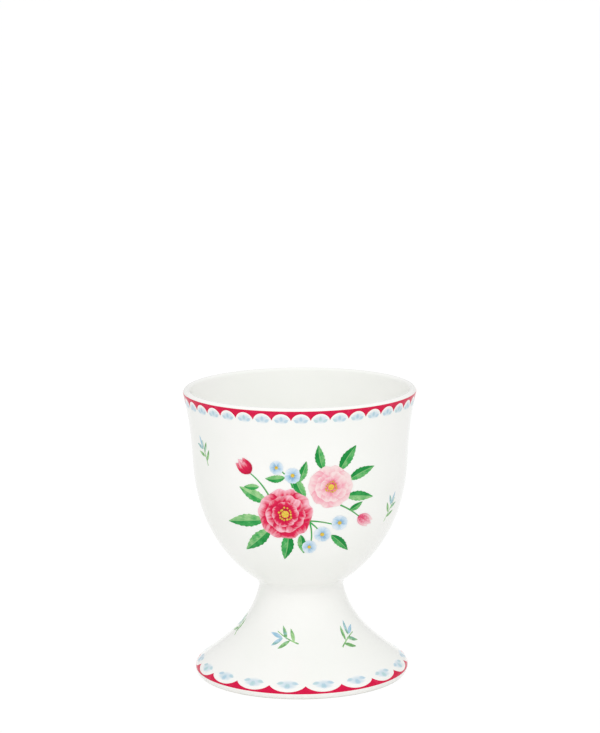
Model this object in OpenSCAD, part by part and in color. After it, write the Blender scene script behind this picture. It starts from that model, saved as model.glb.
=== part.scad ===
// Footed porcelain egg cup: a thin bowl luted with slip to a hollow trumpet foot,
// with fired-on transfers: scalloped bands with fan lace, a flower spray and sprigs.

/* [Overall] */
// Height from the table to the top of the lip
cup_h = 65; // [63:0.5:69]
// Diameter over the rim
rim_d = 51.9; // [50:0.1:54]

/* [Bowl] */
// Height of the flared part of the wall, from the shoulder up to the lip
flare_h = 15.5; // [13:0.5:18]
// How far the rim reaches out past the shoulder
rim_flare = 1.9; // [1.4:0.05:2.3]
// Lean of the wall from upright at the shoulder, in degrees
shoulder_lean = 2.2; // [1:0.1:4]
// Outward lean of the flared rim, in degrees
rim_lean = 12.7; // [9:0.1:16]
// Lean of the belly where it leaves the waist, in degrees
belly_lean = 57.6; // [52:0.2:62]
// Thickness of the rounded lip
lip_t = 1.6; // [1.4:0.1:2.2]
// Wall thickness at the shoulder
bowl_wall = 2.5; // [2.2:0.1:3]
// Thickness of the floor under the egg
bowl_floor = 3; // [2.5:0.1:3.5]

/* [Waist] */
// Diameter of the waist where bowl and foot meet
waist_d = 18.1; // [17:0.1:20]
// Height of the waist above the table
waist_h = 21; // [20:0.1:22]
// Thickness of the slip in the joint
slip_t = 0.4; // [0.2:0.05:0.6]
// Reach of the slip bead up the bowl and down the foot
bead_reach = 1.1; // [0.8:0.05:1.4]

/* [Foot] */
// Diameter over the foot
foot_d = 47.9; // [46:0.1:51]
// Lean of the trumpet under the waist, in degrees
stem_lean = 11.5; // [8:0.5:15]
// Lean of the trumpet above its edge, in degrees
flare_lean = 52.5; // [47:0.5:56]
// Wall thickness of the foot
foot_wall = 3; // [2.6:0.1:3.4]
// Radius of the rounded edge
foot_edge_r = 1.7; // [1.4:0.05:1.9]
// Height of the widest point of the edge
foot_edge_h = 1.3; // [1.1:0.05:1.35]
// Width of the bare ring that rests on the table
foot_ring_w = 1.8; // [1.4:0.1:2.4]

/* [Rim band] */
// Number of scallops round the rim
rim_scallops = 38; // [30:1:42]
// Distance from the top of the lip down to the band
rim_band_drop = 0.6; // [0.5:0.01:1]
// Width of the band over a scallop
rim_band_w = 0.58; // [0.5:0.01:0.8]
// Height of each scallop
rim_arch_h = 1.5; // [1.2:0.05:1.7]
// Turn of the band from the front, in degrees
rim_turn = 0.5; // [0:0.1:5]

/* [Foot band] */
// Number of scallops round the foot
foot_scallops = 18; // [16:1:20]
// Distance from the edge's widest point up to the scallops
foot_band_w = 0.4; // [0.35:0.01:0.8]
// Height of each scallop along the slope
foot_arch_h = 1.85; // [1.5:0.05:2]
// Turn of the band from the front, in degrees
foot_turn = 12; // [10:0.5:20]

/* [Fan lace] */
// Length of a rim fan's drop
rim_drop_l = 1.2; // [1:0.05:1.4]
// Length of a foot fan's drop
foot_drop_l = 1.5; // [1.3:0.05:1.6]
// Gap between a scallop of the rim and its fan
rim_fan_gap = 0.85; // [0.7:0.05:1.1]
// Gap between a scallop of the foot and its fan
foot_fan_gap = 1.05; // [0.8:0.05:1.2]

/* [Flower spray] */
// Width of the spray on the front of the bowl
spray_w = 33; // [29:0.5:34]
// Length of a small sprig
sprig_l = 7; // [5.5:0.5:8]
// Thickness of a fired transfer
film_t = 0.08; // [0.06:0.01:0.12]

/* [Hidden] */

$fn = 48;
turn_fn = 180;
// Turn of the side with the flower spray
front = -90;
// How far a drawing reaches through a surface, each way
stamp_reach = 2.5;

porcelain = "#f4f5f0";
porcelain_foot = "#eff0ea";
slip_white = "#e6e6df";
crimson = "#dc2347";
lace_blue = "#b5d6e0";
rose_red = "#d8184c";
rose_pink = "#f0a3b4";
sky_blue = "#a9c8e6";
yolk = "#e9c84e";
leaf_green = "#3d9b4f";
stem_green = "#6ea35a";

curve_steps = 20;
flare_steps = 8;
round_steps = 12;

waist_r = waist_d / 2;
rim_r = rim_d / 2;
lip_r = lip_t / 2;
lip_middle = [rim_r - lip_r, cup_h - lip_r];
shoulder = [rim_r - rim_flare, cup_h - flare_h];
inner_shoulder = shoulder - [bowl_wall, 0];
waist = [waist_r, waist_h];

// Round seat under the bowl, in line with the belly where that meets the waist
seat_angle = 90 - belly_lean;
seat_r = waist_r / sin(seat_angle);
seat_middle = [0, waist_h + seat_r * cos(seat_angle)];
floor_h = seat_middle[1] - seat_r + bowl_floor;
foot_seat_r = seat_r + slip_t;
foot_seat_in_angle = asin((waist_r - foot_wall) / foot_seat_r);

edge_middle = [foot_d / 2 - foot_edge_r, foot_edge_h];
edge_end_angle = -asin(foot_edge_h / foot_edge_r);
ring_outer_r = edge_middle[0] + foot_edge_r * cos(edge_end_angle);
ring_inner_r = ring_outer_r - foot_ring_w;

// Handle lengths of the curves, as shares of the straight line between their ends
belly_out_share = 0.42;
belly_in_share = 0.311;
flare_share = 0.334;
inside_wall_share = 0.38;
inside_floor_share = 0.34;
stem_share = 0.391;
trumpet_share = 0.401;
hollow_stem_share = 0.3;
hollow_trumpet_share = 0.38;
bead_share = 0.3;

function rising(lean) = [sin(lean), cos(lean)];
function falling(lean) = [sin(lean), -cos(lean)];
function on_circle(middle, r, a) = middle + r * [cos(a), sin(a)];
function on_seat(r, a) = seat_middle + r * [sin(a), -cos(a)];
function arc(middle, r, from, to, steps) =
    [for (i = [0:steps]) on_circle(middle, r, from + (to - from) * i / steps)];
function seat_arc(r, from, to, steps) =
    [for (i = [0:steps]) on_seat(r, from + (to - from) * i / steps)];
function tail(list) = [for (i = [1:len(list) - 1]) list[i]];
function backwards(list) = [for (i = [len(list) - 1:-1:0]) list[i]];

// Cubic curve from a to b, leaving along da and arriving along db
function curve(a, da, b, db, share_a, share_b, steps) =
    let (chord = norm(b - a), c = a + da * share_a * chord, d = b - db * share_b * chord)
    [for (i = [0:steps]) let (t = i / steps, s = 1 - t)
        s * s * s * a + 3 * s * s * t * c + 3 * s * t * t * d + t * t * t * b];

belly_line = curve(waist, rising(belly_lean), shoulder, rising(shoulder_lean),
    belly_out_share, belly_in_share, curve_steps);
flare_line = curve(shoulder, rising(shoulder_lean), on_circle(lip_middle, lip_r, -rim_lean),
    rising(rim_lean), flare_share, flare_share, flare_steps);
bowl_line = concat(belly_line, tail(flare_line));
outer_lip = arc(lip_middle, lip_r, -rim_lean, 90, round_steps / 2);
inner_lip = arc(lip_middle, lip_r, 90, 180 - rim_lean, round_steps / 2);
inside_flare = curve(on_circle(lip_middle, lip_r, 180 - rim_lean), -rising(rim_lean),
    inner_shoulder, -rising(shoulder_lean), flare_share, flare_share, flare_steps);
inside_belly = curve(inner_shoulder, -rising(shoulder_lean), [0, floor_h], [-1, 0],
    inside_wall_share, inside_floor_share, curve_steps);

foot_line = curve(on_seat(foot_seat_r, seat_angle), falling(stem_lean),
    on_circle(edge_middle, foot_edge_r, flare_lean), falling(flare_lean),
    stem_share, trumpet_share, curve_steps);
edge_line = arc(edge_middle, foot_edge_r, flare_lean, edge_end_angle, round_steps);
hollow_line = curve([ring_inner_r, 0], -falling(flare_lean), on_seat(foot_seat_r, foot_seat_in_angle),
    -falling(stem_lean), hollow_trumpet_share, hollow_stem_share, curve_steps);

// Radius of the outside at a height, straight between the curve's points
bowl_table = [for (p = bowl_line) [p[1], p[0]]];
rim_table = [for (p = concat(bowl_line, tail(outer_lip))) [p[1], p[0]]];
foot_table = [for (p = backwards(concat(foot_line, tail(edge_line)))) [p[1], p[0]]];

// Outline of a transfer that lies on a surface between two heights
function film_outline(table, low, high) =
    let (heights = concat([low], [for (p = table) if (p[0] > low && p[0] < high) p[0]], [high]))
    concat([for (h = heights) [lookup(h, table), h]],
        [for (h = backwards(heights)) [lookup(h, table) + film_t, h]]);

module film(table, low, high) {
    rotate_extrude($fn = turn_fn) polygon(film_outline(table, low, high));
}

// Stands a flat drawing on a surface: x to the right, y up, thickness both ways
module stamp(a, at, lean) {
    rotate([0, 0, a]) translate([at[0], 0, at[1]]) rotate([0, lean, 0]) rotate([90, 0, 90])
        linear_extrude(height = 2 * stamp_reach, center = true) children();
}

// Pointed leaf from the origin upwards
module leaf(l, w) {
    r = (l * l + w * w) / (4 * w);
    intersection() {
        translate([r - w / 2, l / 2]) circle(r);
        translate([w / 2 - r, l / 2]) circle(r);
    }
}

// Curved stalk that leaves the origin upwards and bends to the right, or left if r is below 0
module stalk(r, w, sweep) {
    side = sign(r);
    radius = abs(r);
    far = radius * 2;
    mirror([side < 0 ? 1 : 0, 0]) translate([radius, 0]) intersection() {
        difference() {
            circle(radius + w / 2);
            circle(radius - w / 2);
        }
        polygon([[0, 0], for (share = [0, 1 / 2, 1]) far * [-cos(sweep * share), sin(sweep * share)]]);
    }
}

// Open blossom of five round petals
petal_r_share = 0.45;
petal_out_share = 1 - petal_r_share;
eye_r_share = 0.2;
module petals(r) {
    for (i = [0:4]) rotate(72 * i) translate([0, r * petal_out_share]) circle(r * petal_r_share);
}
module blossom(r) {
    difference() {
        petals(r);
        circle(r * eye_r_share);
    }
}

module bowl() {
    color(porcelain) rotate_extrude($fn = turn_fn) polygon(concat(
        seat_arc(seat_r, 0, seat_angle, round_steps), tail(bowl_line), tail(outer_lip),
        tail(inner_lip), tail(inside_flare), tail(inside_belly)));
}

module foot() {
    color(porcelain_foot) rotate_extrude($fn = turn_fn) polygon(concat(
        foot_line, tail(edge_line), hollow_line,
        seat_arc(foot_seat_r, foot_seat_in_angle, seat_angle, round_steps / 2)));
}

// Thin slip between the seats, squeezed out into a small smoothed bead at the waist
bead_top = [lookup(waist_h + bead_reach, bowl_table), waist_h + bead_reach];
bead_low_h = foot_line[0][1] - bead_reach;
bead_low = [lookup(bead_low_h, foot_table), bead_low_h];
bead_line = curve(bead_low, -falling(stem_lean), bead_top, rising(belly_lean),
    bead_share, bead_share, round_steps);
module slip_joint() {
    color(slip_white) rotate_extrude($fn = turn_fn) polygon(concat(
        seat_arc(foot_seat_r, foot_seat_in_angle, seat_angle, round_steps / 2),
        [for (p = foot_line) if (p[1] > bead_low_h && p[1] < foot_line[0][1]) p],
        bead_line,
        [for (p = backwards(belly_line)) if (p[1] > waist_h && p[1] < bead_top[1]) p],
        seat_arc(seat_r, seat_angle, foot_seat_in_angle, round_steps / 2)));
}

// Rim band: its lower edge is cut by round scallops that leave sharp drops between them
band_top = cup_h - rim_band_drop;
rim_peak = band_top - rim_band_w;
rim_half = lookup(rim_peak, bowl_table) * sin(180 / rim_scallops);
rim_scallop_r = (rim_half * rim_half + rim_arch_h * rim_arch_h) / (2 * rim_arch_h);
module rim_stamp(i, h) {
    stamp(front + rim_turn + 360 / rim_scallops * i, [rim_r, h], 0) children();
}
module rim_scallop_band() {
    color(crimson) difference() {
        film(rim_table, rim_peak - rim_scallop_r, band_top);
        for (i = [0:rim_scallops - 1]) rim_stamp(i, rim_peak - rim_scallop_r) circle(rim_scallop_r);
    }
}

// Fan of one upright drop between two smaller leaves
fan_spread_share = 0.45;
fan_leaf_share = 0.85;
fan_w_share = 0.58;
fan_leaf_w_share = 0.36;
fan_tilt = 56;
module fan(l) {
    leaf(l, l * fan_w_share);
    for (side = [-1, 1])
        translate([side * l * fan_spread_share, 0]) rotate(-side * fan_tilt)
            leaf(l * fan_leaf_share, l * fan_leaf_w_share);
}
// Wider fan: a broad drop below two leaves that droop outwards
wide_w_share = 0.9;
wide_out_share = 0.56;
wide_up_share = 1.12;
wide_leaf_share = 1.05;
wide_tilt = 104;
module wide_fan(l) {
    leaf(l, l * wide_w_share);
    for (side = [-1, 1])
        translate([side * l * wide_out_share, l * wide_up_share]) rotate(-side * wide_tilt)
            leaf(l * wide_leaf_share, l * fan_leaf_w_share);
}
module rim_lace_fans() {
    fan_h = rim_peak - rim_fan_gap - rim_drop_l;
    color(lace_blue) intersection() {
        film(rim_table, fan_h - rim_drop_l, rim_peak);
        for (i = [0:rim_scallops - 1]) rim_stamp(i, fan_h) fan(rim_drop_l);
    }
}

// Foot band: cut square to the slope, with the scallops opening upwards
foot_trough_h = foot_edge_h + foot_band_w;
foot_trough = [lookup(foot_trough_h, foot_table), foot_trough_h];
foot_half = foot_trough[0] * sin(180 / foot_scallops);
// Arch as the square cut sees it, with the fall of the round surface added
foot_fall = foot_trough[0] * (1 - cos(180 / foot_scallops)) * sin(flare_lean);
foot_cut_h = foot_arch_h + foot_fall;
foot_scallop_r = (foot_half * foot_half + foot_cut_h * foot_cut_h) / (2 * foot_cut_h);
module foot_stamp(i) {
    stamp(front + foot_turn + 360 / foot_scallops * i, foot_trough, -flare_lean) children();
}
module foot_scallop_band() {
    color(crimson) difference() {
        film(foot_table, foot_edge_h, foot_trough_h + foot_cut_h);
        for (i = [0:foot_scallops - 1]) foot_stamp(i) translate([0, foot_scallop_r]) circle(foot_scallop_r);
    }
}
module foot_lace_fans() {
    color(lace_blue) intersection() {
        film(foot_table, foot_trough_h, foot_trough_h + foot_cut_h * 2);
        for (i = [0:foot_scallops - 1])
            foot_stamp(i) translate([0, foot_fan_gap]) wide_fan(foot_drop_l);
    }
}

// The spray's middle lies halfway up the bowl
spray_h = (waist_h + cup_h) / 2;
spray_reach = spray_w * 0.45;

// Flower spray, drawn as seen from the front in shares of its width: x, height, radius
crimson_shares = [[-0.1, -0.05, 0.19]];
pink_shares = [[0.2, 0.13, 0.155]];
blue_shares = [[0.14, -0.2, 0.06], [0.255, -0.125, 0.058], [0.055, -0.29, 0.052],
    [-0.05, 0.215, 0.058], [-0.155, 0.265, 0.05]];
// Buds: x and height of the foot of each, turn in degrees, length
crimson_bud_shares = [[-0.325, 0.215, 42, 0.12]];
pink_bud_shares = [[0.38, -0.092, -132, 0.11]];
// Leaves: x and height of the foot of each, turn in degrees, length and width
leaf_shares = [[-0.24, -0.1, 100, 0.24, 0.1], [-0.2, -0.16, 138, 0.24, 0.1],
    [-0.22, 0.03, 64, 0.2, 0.085], [-0.08, -0.19, 172, 0.2, 0.09], [0.32, 0.17, -68, 0.18, 0.075],
    [0.26, 0.24, -34, 0.19, 0.08], [0.15, 0.25, 10, 0.17, 0.07], [0.3, 0.06, -100, 0.18, 0.075],
    [0.2, -0.21, -140, 0.17, 0.065], [0.03, 0.06, 24, 0.18, 0.075], [-0.27, 0.13, 95, 0.1, 0.045],
    [0.32, -0.045, -60, 0.1, 0.045], [-0.1, 0.2, 95, 0.13, 0.055], [-0.01, 0.17, -20, 0.15, 0.06],
    [0, -0.2, -172, 0.14, 0.06]];
// Stalks: x and height of the start, turn, radius of the bend and sweep in degrees
stalk_shares = [[-0.2, 0.06, 25, -0.41, 28], [0.26, 0, -118, 0.45, 20], [0.05, -0.08, -160, 0.35, 40],
    [-0.05, 0.13, 13, -0.194, 50], [0.05, -0.1, -92, 0.5, 20], [0.05, -0.1, -128, 0.39, 20]];
stalk_w_share = 0.012;
stalk_w = spray_w * stalk_w_share;

module spray_blossoms(shares) {
    for (s = shares) translate(spray_w * [s[0], s[1]]) blossom(spray_w * s[2]);
}
// Bud seen from the side: three folded petals
bud_w_share = 0.55;
bud_tilt = 16;
module spray_buds(shares) {
    for (s = shares, side = [-1:1])
        translate(spray_w * [s[0], s[1]]) rotate(s[2] + side * bud_tilt)
            leaf(spray_w * s[3], spray_w * s[3] * bud_w_share);
}
// What lies over the leaves and stalks
module all_cover() {
    for (s = concat(crimson_shares, pink_shares, blue_shares))
        translate(spray_w * [s[0], s[1]]) circle(spray_w * s[2]);
    spray_buds(crimson_bud_shares);
    spray_buds(pink_bud_shares);
}
module leaves_flat() {
    for (s = leaf_shares) translate(spray_w * [s[0], s[1]]) rotate(s[2]) leaf(spray_w * s[3], spray_w * s[4]);
}
// Lays a front drawing on the bowl
module on_front() {
    intersection() {
        film(bowl_table, spray_h - spray_reach, spray_h + spray_reach);
        rotate([0, 0, front]) translate([0, 0, spray_h]) rotate([90, 0, 90])
            linear_extrude(height = rim_d) children();
    }
}

module crimson_blossoms() {
    color(rose_red) on_front() {
        spray_blossoms(crimson_shares);
        spray_buds(crimson_bud_shares);
    }
}
module pink_blossoms() {
    color(rose_pink) on_front() {
        spray_blossoms(pink_shares);
        spray_buds(pink_bud_shares);
    }
}
module blue_blossoms() {
    color(sky_blue) on_front() spray_blossoms(blue_shares);
}
module blossom_centres() {
    color(yolk) on_front()
        for (s = concat(crimson_shares, pink_shares, blue_shares))
            translate(spray_w * [s[0], s[1]]) circle(spray_w * s[2] * eye_r_share);
}
module spray_leaves() {
    color(leaf_green) on_front() difference() {
        leaves_flat();
        all_cover();
    }
}
module spray_stems() {
    color(stem_green) on_front() difference() {
        for (s = stalk_shares)
            translate(spray_w * [s[0], s[1]]) rotate(s[2]) stalk(spray_w * s[3], stalk_w, s[4]);
        all_cover();
        leaves_flat();
    }
}

// Small sprigs: turn from the front in degrees, height as a share, tilt in degrees
bowl_sprig_shares = [[60, 0.62, -20], [-60, 0.82, 25], [120, 0.8, -15], [180, 0.66, 10], [-122, 0.6, 30]];
foot_sprig_shares = [[-16, 0.52, 75], [46, 0.5, -60], [118, 0.52, 70], [-164, 0.5, -65], [-88, 0.52, 60]];
sprig_leaf_share = 0.42;
sprig_leaf_w_share = 0.11;
sprig_stalk_w_share = 0.035;
sprig_tilt = 48;
// Leaflets to the left start at the first share of the stalk, those to the right a little lower
sprig_left_shares = [0.3, 0.55];
sprig_right_shares = [0.15, 0.42];
module sprig(l) {
    stalk_w = l * sprig_stalk_w_share;
    translate([-stalk_w / 2, 0]) square([stalk_w, l * (1 - sprig_leaf_share / 2)]);
    translate([0, l * (1 - sprig_leaf_share)]) leaf(l * sprig_leaf_share, l * sprig_leaf_w_share);
    for (share = sprig_left_shares)
        translate([0, l * share]) rotate(sprig_tilt) leaf(l * sprig_leaf_share, l * sprig_leaf_w_share);
    for (share = sprig_right_shares)
        translate([0, l * share]) rotate(-sprig_tilt) leaf(l * sprig_leaf_share, l * sprig_leaf_w_share);
}
module sprigs(table, shares, reach) {
    intersection() {
        film(table, table[0][0], table[len(table) - 1][0]);
        for (p = shares) {
            h = p[1] * reach;
            rotate([0, 0, front + p[0]]) translate([lookup(h, table), 0, h])
                rotate([90, 0, 90]) linear_extrude(height = sprig_l, center = true)
                    rotate(p[2]) translate([0, -sprig_l / 2]) sprig(sprig_l);
        }
    }
}
module bowl_sprigs() {
    color(leaf_green) sprigs(bowl_table, bowl_sprig_shares, cup_h);
}
module foot_sprigs() {
    color(leaf_green) sprigs(foot_table, foot_sprig_shares, waist_h);
}

bowl();
foot();
slip_joint();
rim_scallop_band();
rim_lace_fans();
foot_scallop_band();
foot_lace_fans();
crimson_blossoms();
pink_blossoms();
blue_blossoms();
blossom_centres();
spray_leaves();
spray_stems();
bowl_sprigs();
foot_sprigs();
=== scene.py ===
import math
import random
from bisect import bisect_right

import bmesh
import bpy
from bpy.props import FloatProperty, FloatVectorProperty, IntProperty, PointerProperty
from bpy.types import Operator, Panel, PropertyGroup
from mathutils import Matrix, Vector


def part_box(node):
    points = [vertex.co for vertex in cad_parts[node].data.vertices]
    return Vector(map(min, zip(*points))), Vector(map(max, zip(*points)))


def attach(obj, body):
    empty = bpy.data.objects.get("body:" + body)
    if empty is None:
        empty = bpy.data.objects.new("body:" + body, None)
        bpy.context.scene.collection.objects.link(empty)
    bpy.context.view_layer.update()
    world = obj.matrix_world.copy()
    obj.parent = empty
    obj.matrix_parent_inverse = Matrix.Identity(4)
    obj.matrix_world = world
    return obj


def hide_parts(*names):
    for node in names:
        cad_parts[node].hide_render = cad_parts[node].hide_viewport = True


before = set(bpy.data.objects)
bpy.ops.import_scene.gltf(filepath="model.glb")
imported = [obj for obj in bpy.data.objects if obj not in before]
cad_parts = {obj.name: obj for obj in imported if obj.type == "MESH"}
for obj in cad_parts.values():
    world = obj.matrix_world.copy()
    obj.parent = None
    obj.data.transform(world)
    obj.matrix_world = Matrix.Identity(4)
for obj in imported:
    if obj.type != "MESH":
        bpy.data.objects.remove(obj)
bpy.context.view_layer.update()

bl_info = {
    "name": "Porcelain egg cup",
    "version": (1, 0, 0),
    "blender": (4, 5, 0),
    "location": "3D View > Sidebar > Egg Cup",
    "description": "Glazed egg cup with scalloped bands, fan lace and a painted flower spray",
    "category": "Object",
}

MM = 0.001
BODY = "root"
FRONT = math.radians(-90)
BOWL_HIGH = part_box("bowl")[1]
FOOT_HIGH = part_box("foot")[1]


def screen(red, green, blue):
    """Linear colour from the values that a screen shows, 0 to 255."""
    def linear(value):
        share = value / 255
        return share / 12.92 if share <= 0.04045 else ((share + 0.055) / 1.055) ** 2.4
    return (linear(red), linear(green), linear(blue))


def length(name, description, default):
    return FloatProperty(name=name, description=description, default=default, unit="LENGTH", precision=5)


def lean(name, description, degrees):
    return FloatProperty(name=name, description=description, default=math.radians(degrees), subtype="ANGLE")


def count(name, description, default, least):
    return IntProperty(name=name, description=description, default=default, min=least)


def colour(name, description, *values):
    return FloatVectorProperty(name=name, description=description, default=screen(*values), subtype="COLOR",
                               min=0, max=1, size=3)


# Sizes and colours that a user would change
class CupSizes(PropertyGroup):
    cup_height: length("Height", "Height of the lip above the table", BOWL_HIGH.z)
    rim_radius: length("Rim radius", "Outer radius of the rim", BOWL_HIGH.x)
    flare_height: length("Flare height", "Height of the flared part of the wall", 15.5 * MM)
    rim_flare: length("Rim flare", "Reach of the rim past the shoulder", 1.9 * MM)
    lip_thickness: length("Lip thickness", "Thickness of the rounded lip", 1.6 * MM)
    bowl_wall: length("Bowl wall", "Wall thickness at the shoulder", 2.5 * MM)
    bowl_floor: length("Bowl floor", "Thickness under the egg", 3 * MM)
    waist_radius: length("Waist radius", "Radius where bowl and foot meet", 9.05 * MM)
    waist_height: length("Waist height", "Height of the waist above the table", 21 * MM)
    slip: length("Slip", "Thickness of the slip in the joint", 0.4 * MM)
    bead_reach: length("Bead reach", "Reach of the smoothed slip bead along bowl and foot", 1.1 * MM)
    foot_radius: length("Foot radius", "Radius at the foot's widest point", FOOT_HIGH.x)
    foot_wall: length("Foot wall", "Wall thickness of the foot", 3 * MM)
    edge_radius: length("Edge radius", "Radius of the foot's rounded edge", 1.7 * MM)
    edge_height: length("Edge height", "Height of the edge's widest point", 1.3 * MM)
    ring_width: length("Ring width", "Width of the bare ring on the table", 1.8 * MM)
    shoulder_lean: lean("Shoulder lean", "Lean of the wall at the shoulder", 2.2)
    rim_lean: lean("Rim lean", "Outward lean of the flared rim", 12.7)
    belly_lean: lean("Belly lean", "Lean of the belly above the waist", 57.6)
    stem_lean: lean("Stem lean", "Lean of the foot under the waist", 11.5)
    foot_lean: lean("Foot lean", "Lean of the foot above its edge", 52.5)
    rim_scallops: count("Rim scallops", "Scallops round the rim", 38, 12)
    foot_scallops: count("Foot scallops", "Scallops round the foot", 18, 8)
    band_drop: length("Band drop", "Distance from the lip down to the rim band", 0.6 * MM)
    rim_band: length("Rim band", "Width of the rim band over a scallop", 0.58 * MM)
    rim_arch: length("Rim arch", "Height of a scallop on the rim", 1.5 * MM)
    rim_fan_gap: length("Rim fan gap", "Distance from a scallop's top to its fan", 0.74 * MM)
    rim_drop: length("Rim drop", "Size of the drops in a fan on the rim", 1.12 * MM)
    foot_band: length("Foot band", "Width of the foot band under a scallop", 0.4 * MM)
    foot_arch: length("Foot arch", "Height of a scallop on the foot, along the slope", 1.85 * MM)
    foot_fan_gap: length("Foot fan gap", "Distance from a scallop to its fan, along the slope", 1.05 * MM)
    foot_drop: length("Foot drop", "Size of the drops in a fan on the foot", 1.5 * MM)
    spray_width: length("Spray width", "Width of the flower spray", 33 * MM)
    sprig_length: length("Sprig length", "Length of a small sprig", 7 * MM)


class CupColours(PropertyGroup):
    glaze: colour("Glaze", "Clear glaze over white porcelain", 254, 254, 251)
    glaze_deep: colour("Glaze in hollows", "Glaze where it lies thicker", 252, 253, 249)
    bare: colour("Bare porcelain", "Unglazed ring under the foot", 233, 229, 219)
    bare_worn: colour("Bare porcelain, rubbed", "Where the ring has rubbed on the table", 216, 210, 198)
    band: colour("Band", "Crimson of the scalloped bands", 222, 22, 74)
    # Paler crimson in random clouds on both bands: partly uneven enamel, partly painted sheen
    band_uneven_and_sheen: colour("Band, uneven and painted sheen", "Paler crimson of uneven enamel and painted sheen", 238, 64, 108)
    lace: colour("Lace", "Blue of the fans' drops", 158, 202, 224)
    lace_green: colour("Lace, greenish", "The greener tint of the fans' drops", 166, 213, 209)
    lace_pale: colour("Lace wash", "Pale wash that joins the drops of a fan", 216, 232, 241)
    crimson_deep: colour("Crimson, deep", "Heart of a crimson petal", 194, 4, 58)
    crimson: colour("Crimson", "Middle of a crimson petal", 228, 18, 78)
    crimson_pale: colour("Crimson, pale", "Edge of a crimson petal", 254, 196, 209)
    pink_deep: colour("Pink, deep", "Heart of a pink petal", 232, 76, 118)
    pink: colour("Pink", "Middle of a pink petal", 247, 166, 184)
    pink_pale: colour("Pink, pale", "Edge of a pink petal", 252, 226, 226)
    blue_deep: colour("Blue, deep", "Heart of a blue petal", 130, 176, 214)
    blue: colour("Blue", "Middle of a blue petal", 190, 218, 238)
    blue_pale: colour("Blue, pale", "Edge of a blue petal", 232, 242, 250)
    yolk: colour("Centre", "Yellow of the centres", 240, 208, 80)
    yolk_deep: colour("Centre, deep", "Stamens and shade in the centres", 196, 140, 36)
    leaf_deep: colour("Leaf, deep", "Shade on a leaf", 2, 140, 58)
    leaf: colour("Leaf", "Middle of a leaf", 64, 174, 88)
    leaf_pale: colour("Leaf, pale", "Light on a leaf", 170, 217, 152)
    stem: colour("Stem", "Stems of the spray, and leaflets of the sprigs", 110, 170, 104)
    paper: colour("Paper", "White paper under the cup", 243, 243, 242)
    paper_pale: colour("Paper, pale", "The paper's lighter fibres", 247, 247, 246)


def sizes():
    return bpy.context.scene.egg_cup_sizes


def dye(name):
    """One of the cup's colours, as a material takes it."""
    return tuple(getattr(bpy.context.scene.egg_cup_colours, name))


# Handles of each curve of the turned outline, as shares of the straight line between its ends
BELLY_SHARES = (0.42, 0.311)
FLARE_SHARES = (0.334, 0.334)
INSIDE_SHARES = (0.38, 0.34)
FOOT_SHARES = (0.391, 0.401)
HOLLOW_SHARES = (0.38, 0.3)
BEAD_SHARES = (0.366, 0.366)
LONG_STEPS = 48
SHORT_STEPS = 20


def rising(angle):
    """Upward direction that leans outwards by an angle."""
    return Vector((math.sin(angle), math.cos(angle)))


def falling(angle):
    """Downward direction that leans outwards by an angle."""
    return Vector((math.sin(angle), -math.cos(angle)))


def curve(start, leaving, end, arriving, shares, steps):
    """Cubic curve between two points of the outline, with its direction at each."""
    chord = (end - start).length
    first = start + leaving * shares[0] * chord
    second = end - arriving * shares[1] * chord
    points = []
    for i in range(steps + 1):
        gone = i / steps
        left = 1 - gone
        points.append(left ** 3 * start + 3 * left * left * gone * first
                      + 3 * left * gone * gone * second + gone ** 3 * end)
    return points


def arc(middle, radius, start, end, steps):
    turns = [start + (end - start) * i / steps for i in range(steps + 1)]
    return [middle + radius * Vector((math.cos(turn), math.sin(turn))) for turn in turns]


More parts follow.
